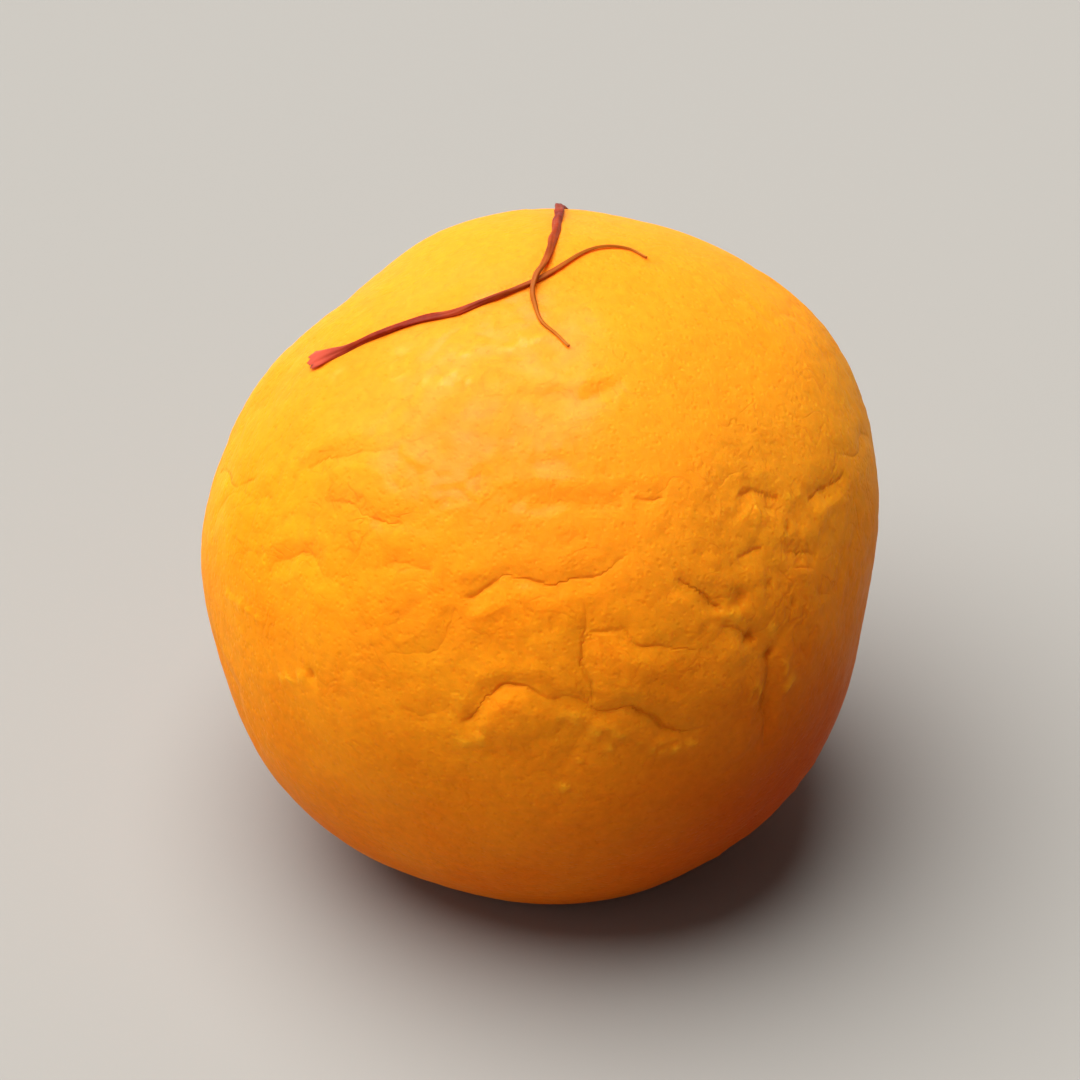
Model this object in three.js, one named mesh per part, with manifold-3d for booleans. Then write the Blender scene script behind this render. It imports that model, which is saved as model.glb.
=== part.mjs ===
// Orange rasgulla: a ball of kneaded fresh cheese, cooked and soaked in saffron syrup until it is
// a soft sponge, with one sprig of saffron threads stuck to its wet crown.
// Millimetres, +Z up. The origin is under the middle of the ball, on the flat foot that it rests on.
// Places on the ball are given in degrees: side runs from the front, -Y, towards the right, +X,
// and up runs from the ball's widest level towards its crown.

import * as THREE from "three";
import { mergeVertices } from "three/addons/utils/BufferGeometryUtils.js";
import Module from "manifold-3d";

// Driving dimensions of the ball
const BALL_RADIUS = 25;
const FOOT_PRESS = 3; // depth of the underside that the ball's own weight presses flat
const BALL_DIVISIONS = 20; // cuts along each edge of the icosahedron that the ball starts from

// Swellings (rise above zero) and flats (below zero) left by rolling the ball between the palms
const LOBES = [
  { side: 118, up: 30, reach: 34, rise: 2.3 }, // shoulder at the back right
  { side: -126, up: 36, reach: 24, rise: -0.95 }, // cheek pressed flat at the back left
  { side: -102, up: 14, reach: 18, rise: 0.4 }, // swelling below that cheek
  { side: -58, up: -34, reach: 26, rise: 0.5 }, // fullness low on the left
  { side: 28, up: -46, reach: 42, rise: 0.85 }, // belly that sags to the front
  { side: 86, up: -6, reach: 22, rise: -0.95 }, // shallow dent in the right flank
  { side: 190, up: 54, reach: 34, rise: 0.85 }, // crown, towards the back
];

// Pads of skin that puff up between the creases of the front
const PADS = [
  { side: -4, up: 11, reach: 6, rise: 0.5 },
  { side: 0, up: 30, reach: 7, rise: 0.3 },
  { side: 16, up: 18, reach: 8, rise: 0.5 },
  { side: 1, up: 21, reach: 6, rise: 0.2 },
  { side: 34, up: 12, reach: 8, rise: 0.4 },
];

// Small uneven lumps all over, spread on a golden-angle spiral
const LUMP_COUNT = 130;
const LUMP_REACH = 11;
const LUMP_RISE = 0.32;
const GOLDEN_ANGLE = 137.50776;

// Creases of the cooked skin: a valley with a soft lip on each side
const CREASE_HALF_WIDTH = 1.1;
const CREASE_LIP_SHARE = 0.4; // lip height as a share of the valley's depth
const CREASE_LIP_OFFSET = 2; // from the valley's line to the top of the lip
const CREASE_STEPS = 6; // straight pieces between two points of a crease

// The creases that mark the front, as lines of [side, up]
const FRONT_CREASES = [
  { depth: 0.75, line: [[-15, 9], [-10, 14], [-4, 17], [2, 15], [5, 15], [13, 12], [21, 8], [30, 4]] },
  { depth: 0.6, line: [[-17, 31], [-11, 34], [-5, 36], [2, 35], [13, 36], [21, 39]] },
  { depth: 0.25, line: [[9, 33], [9, 26], [8, 21], [9, 14]] },
  { depth: 0.4, line: [[9, 26], [16, 25], [20, 22], [29, 20]] },
  { depth: 0.7, line: [[28, 32], [31, 29], [35, 25]] },
  { depth: 0.45, line: [[34, 22], [40, 18], [44, 12], [42, 6], [40, -6]] },
  { depth: 0.5, line: [[48, 41], [54, 39], [60, 35]] },
  { depth: 0.5, line: [[65, 31], [72, 29], [79, 27]] },
  { depth: 0.4, line: [[42, 31], [48, 30], [57, 25], [60, 21]] },
  { depth: 0.4, line: [[-11, 49], [8, 48], [23, 47], [31, 46]] },
  { depth: 0.35, line: [[8, 10], [5, 4], [2, -3]] },
  { depth: 0.4, line: [[-63, 38], [-58, 44], [-47, 50], [-41, 53]] },
  { depth: 0.45, line: [[-53, 37], [-46, 40], [-31, 40]] },
  { depth: 0.45, line: [[-60, 20], [-53, 27], [-44, 27], [-37, 27]] },
];

// The creases of the other sides wander from points of a spiral, turning a little at each step
const WANDER_COUNT = 44;
const WANDER_STEPS = 4;
const WANDER_STEP = 6.5; // degrees along the ball
const WANDER_TURN = 70; // most that a crease turns at a step, in degrees
const WANDER_DEPTH = [0.3, 0.65];
const FRONT_WINDOW = { side: 62, lowest: -40 }; // kept for the creases listed above
const CROWN_FROM = 36; // the crown above this level has no creases

// Saffron sprig: two threads that cross on the crown. Each has a flared tip, a body and a thin stem,
// given as half thicknesses, and runs from its tip along a line of [side, up].
const CROSSING = [-168, 87];
const THREADS = [
  {
    tip: 0.66,
    body: 0.36,
    stem: 0.2,
    line: [
      [-91, 48], [-87, 56], [-85.5, 65], [-83, 75], [-88, 82],
      CROSSING, [149, 82], [142, 74.5], [134, 70], [124, 68.7],
    ],
  },
  {
    tip: 0.52,
    body: 0.4,
    stem: 0.24,
    line: [
      [174.5, 44], [174.5, 54], [173, 66], [172, 76], [174, 83],
      CROSSING, [-88, 88.7], [-17, 87], [6, 83], [17, 79.6], [22.5, 76.8],
    ],
  },
];
const THREAD_SIDES = 8;
const THREAD_STEPS = 40;
const THREAD_LIFT = 0.14; // thread's middle above the skin, so that its underside sinks in
const FLARE_SHARE = 0.16; // share of a thread's length over which its tip narrows to the body
const STEM_FROM = 0.4; // share of a thread's length where the body starts to thin into the stem

const WELD_GAP = 1e-4; // points of one geometry nearer than this are the same point

const SKIN = { color: 0xf59a14, roughness: 0.42, metalness: 0 };

const radians = THREE.MathUtils.degToRad;

/** Unit direction from the ball's centre to a place on its skin. */
function heading(side, up) {
  const s = radians(side);
  const u = radians(up);
  return new THREE.Vector3(Math.sin(s) * Math.cos(u), -Math.cos(s) * Math.cos(u), Math.sin(u));
}

/** The same share from 0 to 1 every time for the same whole number. */
function draw(number) {
  const wave = Math.sin(number * 12.9898 + 4.1414) * 43758.5453;
  return wave - Math.floor(wave);
}

/** Place number k of count on a golden-angle spiral from the crown to the foot. */
function spiral(k, count) {
  const up = THREE.MathUtils.radToDeg(Math.asin(1 - (2 * k + 1) / count));
  return { side: k * GOLDEN_ANGLE, up };
}

const lumps = Array.from({ length: LUMP_COUNT }, (_, k) => ({
  ...spiral(k, LUMP_COUNT),
  reach: LUMP_REACH,
  rise: LUMP_RISE * (2 * draw(k) - 1),
}));

const swellings = [...LOBES, ...PADS, ...lumps].map(({ side, up, reach, rise }) => ({
  centre: heading(side, up),
  reach: radians(reach),
  rise,
}));

/** Distance from the ball's centre to the skin before it creases. */
function smoothRadius(direction) {
  const rises = swellings.map(({ centre, reach, rise }) => {
    const angle = direction.angleTo(centre);
    return rise * Math.exp(-((angle / reach) ** 2));
  });
  return rises.reduce((sum, rise) => sum + rise, BALL_RADIUS);
}

/** A smooth row of points on the unit sphere through some directions. */
function rowOfPoints(headings, steps) {
  const curve = new THREE.CatmullRomCurve3(headings);
  return curve.getPoints(steps).map((point) => point.normalize());
}

/** True where creases wander: off the crown, and off the front that has its own. */
function isWanderingGround({ side, up }) {
  const turn = THREE.MathUtils.euclideanModulo(side + 180, 360) - 180;
  const isFront = Math.abs(turn) < FRONT_WINDOW.side && up > FRONT_WINDOW.lowest;
  return up < CROWN_FROM && !isFront;
}

/** Headings of crease number k, which sets out from a spiral point and turns as it goes. */
function wanderingLine(k) {
  const start = spiral(k, WANDER_COUNT);
  let direction = heading(start.side, start.up);
  let course = 360 * draw(k + 500);
  const line = [direction];
  for (let step = 1; step <= WANDER_STEPS; step += 1) {
    course += WANDER_TURN * (2 * draw(17 * k + step) - 1);
    const east = new THREE.Vector3(-direction.y, direction.x, 0).normalize();
    const north = new THREE.Vector3().crossVectors(direction, east);
    const ahead = east.multiplyScalar(Math.cos(radians(course)));
    ahead.addScaledVector(north, Math.sin(radians(course)));
    const stride = radians(WANDER_STEP);
    direction = direction.clone().multiplyScalar(Math.cos(stride)).addScaledVector(ahead, Math.sin(stride));
    line.push(direction);
  }
  return line;
}

const frontCreases = FRONT_CREASES.map(({ depth, line }) => ({
  depth,
  points: rowOfPoints(line.map(([side, up]) => heading(side, up)), CREASE_STEPS * (line.length - 1)),
}));

const wanderingCreases = Array.from({ length: WANDER_COUNT }, (_, k) => k)
  .filter((k) => isWanderingGround(spiral(k, WANDER_COUNT)))
  .map((k) => ({
    depth: THREE.MathUtils.lerp(...WANDER_DEPTH, draw(k + 900)),
    points: rowOfPoints(wanderingLine(k), CREASE_STEPS * WANDER_STEPS),
  }));

const creases = [...frontCreases, ...wanderingCreases];

/** Distance in millimetres from a direction to the nearest point of a crease, and how far along that is. */
function nearestOnCrease(direction, points) {
  const last = points.length - 1;
  const segment = new THREE.Line3();
  const foot = new THREE.Vector3();
  let nearest = { distance: Infinity, along: 0 };
  for (let i = 0; i < last; i += 1) {
    segment.set(points[i], points[i + 1]);
    const share = segment.closestPointToPointParameter(direction, true);
    const distance = BALL_RADIUS * segment.at(share, foot).distanceTo(direction);
    if (distance < nearest.distance) {
      nearest = { distance, along: (i + share) / last };
    }
  }
  return nearest;
}

/** Height of the crease relief: the highest lip less the deepest valley, fading to each crease's ends. */
function creaseRelief(direction) {
  const bell = (distance) => Math.exp(-((distance / CREASE_HALF_WIDTH) ** 2));
  let valley = 0;
  let lip = 0;
  for (const { depth, points } of creases) {
    const { distance, along } = nearestOnCrease(direction, points);
    const faded = depth * Math.sqrt(Math.sin(Math.PI * along));
    valley = Math.max(valley, faded * bell(distance));
    lip = Math.max(lip, faded * CREASE_LIP_SHARE * bell(distance - CREASE_LIP_OFFSET));
  }
  return lip - valley;
}

/** Removes normals and texture places, and joins the points that faces share. */
function weld(geometry) {
  geometry.deleteAttribute("normal");
  geometry.deleteAttribute("uv");
  return mergeVertices(geometry, WELD_GAP);
}

/** The ball: an evenly divided sphere whose points move to the lumpy, creased skin and the flat foot. */
function ballGeometry() {
  const footLevel = FOOT_PRESS - BALL_RADIUS;
  const geometry = weld(new THREE.IcosahedronGeometry(1, BALL_DIVISIONS));
  const position = geometry.getAttribute("position");
  const point = new THREE.Vector3();
  for (let i = 0; i < position.count; i += 1) {
    point.fromBufferAttribute(position, i).normalize();
    point.multiplyScalar(smoothRadius(point) + creaseRelief(point));
    position.setXYZ(i, point.x, point.y, Math.max(point.z, footLevel));
  }
  return geometry;
}

/** The line of a saffron thread: it follows the skin from the thread's tip to the end of its stem. */
class ThreadLine extends THREE.Curve {
  constructor(line) {
    super();
    this.course = new THREE.CatmullRomCurve3(line.map(([side, up]) => heading(side, up)));
  }

  getPoint(share, target = new THREE.Vector3()) {
    target.copy(this.course.getPoint(share)).normalize();
    return target.multiplyScalar(smoothRadius(target) + THREAD_LIFT);
  }
}

/** Half the thickness of a thread at a share of its length: the flared tip, the body, then the stem. */
function threadRadius({ tip, body, stem }, share) {
  const { lerp, smoothstep } = THREE.MathUtils;
  const flared = lerp(tip, body, smoothstep(share, 0, FLARE_SHARE));
  return lerp(flared, stem, smoothstep(share, STEM_FROM, 1));
}

/** A saffron thread: a closed cylinder bent along its line, thicker or thinner as the thread is. */
function threadGeometry(thread) {
  const path = new ThreadLine(thread.line);
  const geometry = weld(new THREE.CylinderGeometry(1, 1, 1, THREAD_SIDES, THREAD_STEPS));
  const position = geometry.getAttribute("position");
  for (let i = 0; i < position.count; i += 1) {
    const share = position.getY(i) + 0.5;
    const radius = threadRadius(thread, share);
    const point = path.getPointAt(share);
    const tangent = path.getTangentAt(share);
    const across = new THREE.Vector3().crossVectors(tangent, point).normalize();
    const outward = new THREE.Vector3().crossVectors(across, tangent);
    point.addScaledVector(across, radius * position.getX(i));
    point.addScaledVector(outward, radius * position.getZ(i));
    position.setXYZ(i, point.x, point.y, point.z);
  }
  return geometry;
}

const wasm = await Module();
wasm.setup();

/** A closed geometry as a solid that can be joined to others. */
function solidOf(geometry) {
  return new wasm.Manifold(
    new wasm.Mesh({
      numProp: 3,
      vertProperties: geometry.getAttribute("position").array,
      triVerts: new Uint32Array(geometry.index.array),
    }),
  );
}

/** A solid as a geometry again. */
function geometryOf(solid) {
  const { vertProperties, triVerts } = solid.getMesh();
  const geometry = new THREE.BufferGeometry();
  geometry.setAttribute("position", new THREE.BufferAttribute(vertProperties, 3));
  geometry.setIndex(new THREE.BufferAttribute(triVerts, 1));
  geometry.computeVertexNormals();
  return geometry;
}

/** The sweet: the ball with the sprig stuck to it, one solid. */
function rasgulla() {
  const ball = solidOf(ballGeometry());
  const joined = THREADS.reduce((solid, thread) => solid.add(solidOf(threadGeometry(thread))), ball);
  const mesh = new THREE.Mesh(geometryOf(joined), new THREE.MeshStandardMaterial(SKIN));
  mesh.name = "rasgulla";
  mesh.geometry.computeBoundingBox();
  const { min, max } = mesh.geometry.boundingBox;
  mesh.position.set(-(min.x + max.x) / 2, -(min.y + max.y) / 2, -min.z);
  return mesh;
}

const sweet = new THREE.Group();
sweet.add(rasgulla());

export default sweet;
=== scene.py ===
import itertools
import math

import bpy
import numpy as np
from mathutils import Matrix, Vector


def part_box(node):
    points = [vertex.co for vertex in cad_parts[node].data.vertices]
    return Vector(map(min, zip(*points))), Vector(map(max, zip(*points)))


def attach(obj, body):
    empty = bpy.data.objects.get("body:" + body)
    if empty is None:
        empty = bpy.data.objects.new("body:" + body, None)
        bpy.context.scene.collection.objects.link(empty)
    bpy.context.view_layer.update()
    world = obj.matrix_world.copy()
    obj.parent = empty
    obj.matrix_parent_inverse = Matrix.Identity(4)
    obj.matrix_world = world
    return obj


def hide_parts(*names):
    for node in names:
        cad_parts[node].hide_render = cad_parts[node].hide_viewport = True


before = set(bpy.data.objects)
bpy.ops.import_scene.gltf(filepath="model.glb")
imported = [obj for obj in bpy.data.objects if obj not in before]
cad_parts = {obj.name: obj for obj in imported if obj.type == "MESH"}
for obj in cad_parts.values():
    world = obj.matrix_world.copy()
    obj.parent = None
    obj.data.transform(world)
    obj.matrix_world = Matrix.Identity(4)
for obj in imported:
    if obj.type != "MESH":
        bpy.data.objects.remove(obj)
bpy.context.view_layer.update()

# The ball: fresh milk curd kneaded smooth, rolled between the palms and boiled in saffron syrup, where it
# swells to a soft sponge. Its skin shrinks as it cools, so it is lumpy, creased and cracked into curds,
# and its own weight presses the underside flat.

# Sizes are in millimetres. Places are in degrees: side turns from the front towards the right, and up rises
# from the widest level to the crown. Lobes, and pads and dips by the creases, are (side, up, reach, rise).
MILLIMETRE = 0.001
BALL_RADIUS = 25
FOOT_PRESS = 3
FOOT_ROUNDING = 0.7
FOOT_LEVEL = FOOT_PRESS - BALL_RADIUS
BALL_CELLS = 128
CROWDING = 0.2
CROWDED_AT = (0, 25)
LOBES = np.array([
    (118, 30, 34, 2.3),
    (-126, 36, 24, -0.95),
    (-102, 14, 18, 0.4),
    (-58, -34, 26, 0.5),
    (28, -46, 42, 0.85),
    (86, -6, 22, -0.95),
    (190, 54, 34, 0.85),
])
PADS = np.array([
    (-4, 11, 6, 0.5),
    (0, 30, 7, 0.3),
    (16, 18, 8, 0.5),
    (1, 21, 6, 0.2),
    (33, 12, 8, 0.4),
    (43, 15, 5, -0.3),
    (43, 4, 5, -0.25),
])
LUMP_COUNT = 130
LUMP_REACH = 11
LUMP_RISE = 0.32
GOLDEN_ANGLE = 137.50776
DRAW_PACE = 12.9898
DRAW_START = 4.1414
DRAW_SPREAD = 43758.5453
CORNER_STEPS = (12.71, 31.17, 7.47)
AXIS_STEPS = (0, 0.37, 0.71)
AXIS_SEEDS = (0, 4, 8)
NOISE_HEIGHT = 1.8


def heading(side, up):
    """Unit direction of a place: x is sin(side) cos(up), y is -cos(side) cos(up), z is sin(up)."""
    side, up = np.radians(side), np.radians(up)
    return np.stack([np.sin(side) * np.cos(up), -np.cos(side) * np.cos(up), np.sin(up)], axis=-1)


def angle_from(directions, side, up):
    """Angle in degrees of each direction from a place: the arc cosine of the product of the two."""
    return np.degrees(np.arccos(np.clip(directions @ heading(side, up), -1, 1)))


def bell(distance, width):
    """1 at no distance, falling as e to the minus square of distance over width."""
    return np.exp(-((distance / width) ** 2))


def ease(low, high, value):
    """0 below low, 1 above high, and 3t^2 - 2t^3 between them."""
    t = np.clip((value - low) / (high - low), 0, 1)
    return t * t * (3 - 2 * t)


def draw(number):
    """A fixed share from 0 to 1 for any number: the fraction of a large multiple of its sine."""
    wave = np.sin(np.asarray(number) * DRAW_PACE + DRAW_START) * DRAW_SPREAD
    return wave - np.floor(wave)


def spiral(count):
    """Sides and ups of places spread evenly: equal steps of height, each a golden angle further round."""
    k = np.arange(count)
    return k * GOLDEN_ANGLE, np.degrees(np.arcsin(1 - (2 * k + 1) / count))


def cube_sphere(cells):
    """Unit directions and four-cornered faces of a cube blown up to a sphere: each of its six sides is a
    grid of two angles from -45 to 45 degrees, and the point is (1, tan a, tan b) made unit length."""
    tangent = np.tan(np.linspace(-math.pi / 4, math.pi / 4, cells + 1))
    a, b = np.meshgrid(tangent, tangent, indexing="ij")
    one = np.ones_like(a)
    sides = [
        np.roll(np.stack(side, axis=-1), turn, axis=-1)
        for turn in range(3)
        for side in ((one, a, b), (-one, b, a))
    ]
    points = np.concatenate([side.reshape(-1, 3) for side in sides])
    points /= np.linalg.norm(points, axis=1, keepdims=True)
    index = np.arange((cells + 1) ** 2).reshape(cells + 1, cells + 1)
    corners = [index[:-1, :-1], index[1:, :-1], index[1:, 1:], index[:-1, 1:]]
    face = np.stack(corners, axis=-1).reshape(-1, 4)
    faces = np.concatenate([face + k * index.size for k in range(len(sides))])
    alike = np.round(points, decimals=7)
    _, first, shared = np.unique(alike, axis=0, return_index=True, return_inverse=True)
    return points[first], shared.reshape(-1)[faces]


def crowded(directions, towards, share):
    """Draws the points of a sphere together on one side, with their cells kept square: the cosine c of the
    angle to that side becomes (c + share) / (1 + share c)."""
    cosine = directions @ towards
    across = directions - cosine[:, None] * towards
    scale = math.sqrt(1 - share**2) / (1 + share * cosine)
    drawn = (cosine + share) / (1 + share * cosine)
    return drawn[:, None] * towards + across * scale[:, None]


def smooth_radius(directions):
    """Distance from the centre to the skin before it creases: the ball's radius plus, for each lobe, pad
    and lump, its rise times the bell of the angle from its place."""
    side, up = spiral(LUMP_COUNT)
    rises = LUMP_RISE * (2 * draw(np.arange(LUMP_COUNT)) - 1)
    lumps = np.column_stack([side, up, np.full(LUMP_COUNT, LUMP_REACH), rises])
    radius = np.full(len(directions), float(BALL_RADIUS))
    for side, up, reach, rise in np.vstack([LOBES, PADS, lumps]):
        radius += rise * bell(angle_from(directions, side, up), reach)
    return radius


def corner_draws(corner, seed):
    """Three fixed shares for each corner of a lattice: draws for a weighted sum of its whole numbers."""
    number = corner @ CORNER_STEPS + seed
    return draw(number[:, None] + AXIS_STEPS)


def curd_noise(points, size, seed):
    """Smooth random heights, about -1 to 1, in lumps about size wide: each corner of a lattice draws a
    slope, and the eight slopes round a point are eased into one another."""
    cell = np.asarray(points) / size
    corner = np.floor(cell)
    inside = cell - corner
    share = ease(0, 1, inside)
    total = np.zeros(len(cell))
    for offset in itertools.product((0, 1), repeat=3):
        weight = np.prod(np.where(offset, share, 1 - share), axis=1)
        slope = 2 * corner_draws(corner + offset, seed) - 1
        total += weight * ((inside - offset) * slope).sum(axis=1)
    return NOISE_HEIGHT * total


def straying(points, size, seed):
    """A shift for each point, along x, y and z, by three such noises."""
    return np.stack([curd_noise(points, size, seed + step) for step in AXIS_SEEDS], axis=1)


# Creases: each one of the front is how crisp it is, from a soft fold at 0 to a crack at 1, and its points
# as (side, up, depth). More creases wander over the rest of the ball, off the crown. The noises that make
# all of them ragged are (size, share, seed).
FRONT_CREASES = [
    (0.78, [
        (-15, 8.5, 0.8), (-12, 10, 1), (-10, 13.6, 0.6), (-7.6, 16.5, 0.9), (-4.5, 17.3, 1),
        (-1.4, 16.5, 0.6), (1.7, 15, 0.25), (5, 15.5, 0.3), (9.2, 13.3, 0.6), (12.5, 11.9, 0.8),
        (16, 11.7, 1), (20.7, 8.2, 1.4), (24.2, 5.2, 1.3), (30, 4, 0.9),
    ]),
    (0.78, [
        (-17, 30.8, 0.7), (-13.5, 32.3, 1), (-11, 33.8, 0.8), (-7.5, 36, 0.3), (-3.3, 35.8, 0.6),
        (2, 35, 0.6), (8, 35.3, 0.45), (13, 36, 0.4), (16.4, 37.5, 0.35), (21, 39, 0.3),
    ]),
    (0.85, [(9, 33, 0.2), (8.7, 26.3, 0.6), (7.8, 21.3, 0.75), (9.1, 17.7, 0.75), (9, 14, 0.6)]),
    (0.9, [
        (8.6, 25.7, 0.3), (12, 26, 0.5), (16, 25.3, 0.5), (20.3, 22.3, 0.6), (25, 21, 0.5), (29, 19.5, 0.3),
    ]),
    (1, [(28, 32.2, 0.6), (31.4, 29.3, 1), (35, 25, 0.7)]),
    (1, [(34.5, 21.7, 0.4), (37.6, 19.9, 0.5), (39.7, 17.7, 0.7), (41, 15.6, 0.4)]),
    (0.6, [(44, 14, 0.6), (43.5, 10.6, 0.9), (42, 6, 0.95), (40.5, 0, 0.8), (40, -6, 0.4)]),
    (0.9, [(48, 40.6, 0.4), (50.6, 39.6, 0.65), (54, 39, 0.5), (57, 37, 0.65), (60.5, 35.4, 0.4)]),
    (1, [(65, 31, 0.6), (70.7, 30, 0.9), (75, 28.2, 0.8), (79, 27.4, 0.5)]),
    (1, [(42.5, 31.2, 0.4), (45.5, 30.5, 0.7), (48.5, 29.8, 0.4)]),
    (0.6, [(53, 27.2, 0.45), (57, 25.1, 0.65), (60.5, 21, 0.4)]),
    (0.1, [(-11, 49.4, 0.4), (-0.5, 49, 0.6), (8.5, 48.3, 0.5), (16.5, 48.2, 0.4), (23, 46.8, 0.4)]),
    (0.9, [(24, 46.8, 0.3), (28.5, 46.4, 0.7), (31, 46, 0.4)]),
    (0.3, [(8, 10.4, 0.35), (6.6, 7.6, 0.45), (5, 4, 0.45), (3.6, 0.6, 0.3)]),
    (0.2, [(-11, 9.5, 0.4), (-8.3, 5.7, 0.45), (-5.4, 3.4, 0.3)]),
    (0.5, [
        (-63.5, 37.5, 0.4), (-58.4, 43.7, 0.55), (-51.8, 47.7, 0.5), (-47, 49.6, 0.35), (-41, 52.6, 0.4),
    ]),
    (0.55, [(-53, 36.8, 0.5), (-46, 39.6, 0.6), (-42, 39.2, 0.4), (-38.7, 39.9, 0.55), (-31, 40.4, 0.5)]),
    (0.3, [
        (-60.5, 19.5, 0.35), (-56.4, 24.5, 0.5), (-52.7, 27.4, 0.5), (-48, 28, 0.5), (-43.9, 26.9, 0.45),
        (-37, 26.6, 0.45),
    ]),
    (0.4, [(-34, 33.5, 0.35), (-28.9, 34.9, 0.45), (-22, 35.2, 0.35)]),
    (0.5, [(-24.5, 9.4, 0.2), (-19.5, 10.2, 0.3), (-15.6, 11.4, 0.25)]),
    (0.5, [(-16.5, 30, 0.3), (-17.5, 25.6, 0.3), (-21, 21, 0.3), (-29, 18.6, 0.2)]),
    (0.6, [(-17.2, 54.4, 0.2), (-16.4, 52, 0.3), (-15.8, 50, 0.2)]),
    (0, [(-12, 68.4, 0.3), (0, 67.4, 0.5), (14, 66.4, 0.55), (26, 66.2, 0.55), (38, 67, 0.3)]),
]
FRONT_SIDE = 62
FRONT_LOWEST = -40
CROWN_FROM = 36
WANDER_COUNT = 44
WANDER_STEPS = 4
WANDER_STEP = 6.5
WANDER_TURN = 70
WANDER_DEPTH = (0.3, 0.65)
WANDER_START = 0.4
COURSE_DRAW = 500
TURN_DRAW = 17
CRISP_DRAW = 700
DEPTH_DRAW = 900
CREASE_STEPS = 24
CREASE_REACH = 5
CREASE_END = 0.1
VALLEY_WIDTH = 0.8
VALLEY_SHARE = 0.28
LIP_SHARE = 0.17
LIP_OFFSET = 1.5
LIP_WIDTH = 0.8
LIP_BELOW = 1.4
LIP_ABOVE = 0.6
LINE_REACH = (0.3, 0.6)
FORK_FADE = 0.3
FORK_WIDTH = 0.15
RAGGED = [(1.9, 1, 3), (0.9, 0.12, 5)]
CREASE_RAGGED = 0.45
CREASE_BROKEN = 0.7
BROKEN_SIZE = 3.1
BROKEN_HEIGHTS = (-0.45, 0.35)
BROKEN_SEED = 9


def smooth_line(places, steps):
    """A smooth row of directions through some: on each span the Catmull-Rom cubic, whose slope at a point
    is half the step between the point's neighbours, made unit length."""
    places = np.asarray(places, float)
    ends = 2 * places[[0, -1]] - places[[1, -2]]
    rows = np.vstack([ends[:1], places, ends[1:]])
    a, b, c, d = rows[:-3], rows[1:-2], rows[2:-1], rows[3:]
    t = np.linspace(0, 1, steps, endpoint=False)[:, None, None]
    cubic = 2 * b + (c - a) * t + (2 * a - 5 * b + 4 * c - d) * t**2 + (3 * b - a - 3 * c + d) * t**3
    line = np.vstack([cubic.transpose(1, 0, 2).reshape(-1, 3) / 2, places[-1:]])
    return line / np.linalg.norm(line, axis=1, keepdims=True)


def wandering_line(k, start):
    """Directions of crease number k: from its start it goes on by equal steps round the ball, and turns at
    each by a drawn angle."""
    course = 360 * draw(k + COURSE_DRAW)
    stride = math.radians(WANDER_STEP)
    line = [start]
    for step in range(1, WANDER_STEPS + 1):
        course += WANDER_TURN * (2 * draw(TURN_DRAW * k + step) - 1)
        here = line[-1]
        east = np.array([-here[1], here[0], 0]) / math.hypot(here[0], here[1])
        north = np.cross(here, east)
        ahead = east * math.cos(math.radians(course)) + north * math.sin(math.radians(course))
        line.append(here * math.cos(stride) + ahead * math.sin(stride))
    return line


def crease_lines():
    """Every crease as how crisp it is, a row of directions along it and its depth at each of them."""
    lines = []
    for crisp, points in FRONT_CREASES:
        sides, ups, depths = np.transpose(points)
        lines.append((crisp, heading(sides, ups), depths))
    sides, ups = spiral(WANDER_COUNT)
    turns = (sides + 180) % 360 - 180
    front = (np.abs(turns) < FRONT_SIDE) & (ups > FRONT_LOWEST)
    growing = np.interp(np.arange(WANDER_STEPS + 1), (0, 1), (WANDER_START, 1))
    for k in np.flatnonzero((ups < CROWN_FROM) & ~front):
        depth = WANDER_DEPTH[0] + (WANDER_DEPTH[1] - WANDER_DEPTH[0]) * draw(k + DEPTH_DRAW)
        line = wandering_line(k, heading(sides[k], ups[k]))
        lines.append((draw(k + CRISP_DRAW), line, depth * growing))
    rows = []
    for crisp, points, depths in lines:
        line = smooth_line(points, CREASE_STEPS)
        along = np.arange(len(line)) / CREASE_STEPS
        rows.append((crisp, line, np.interp(along, np.arange(len(depths)), depths)))
    return rows


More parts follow.
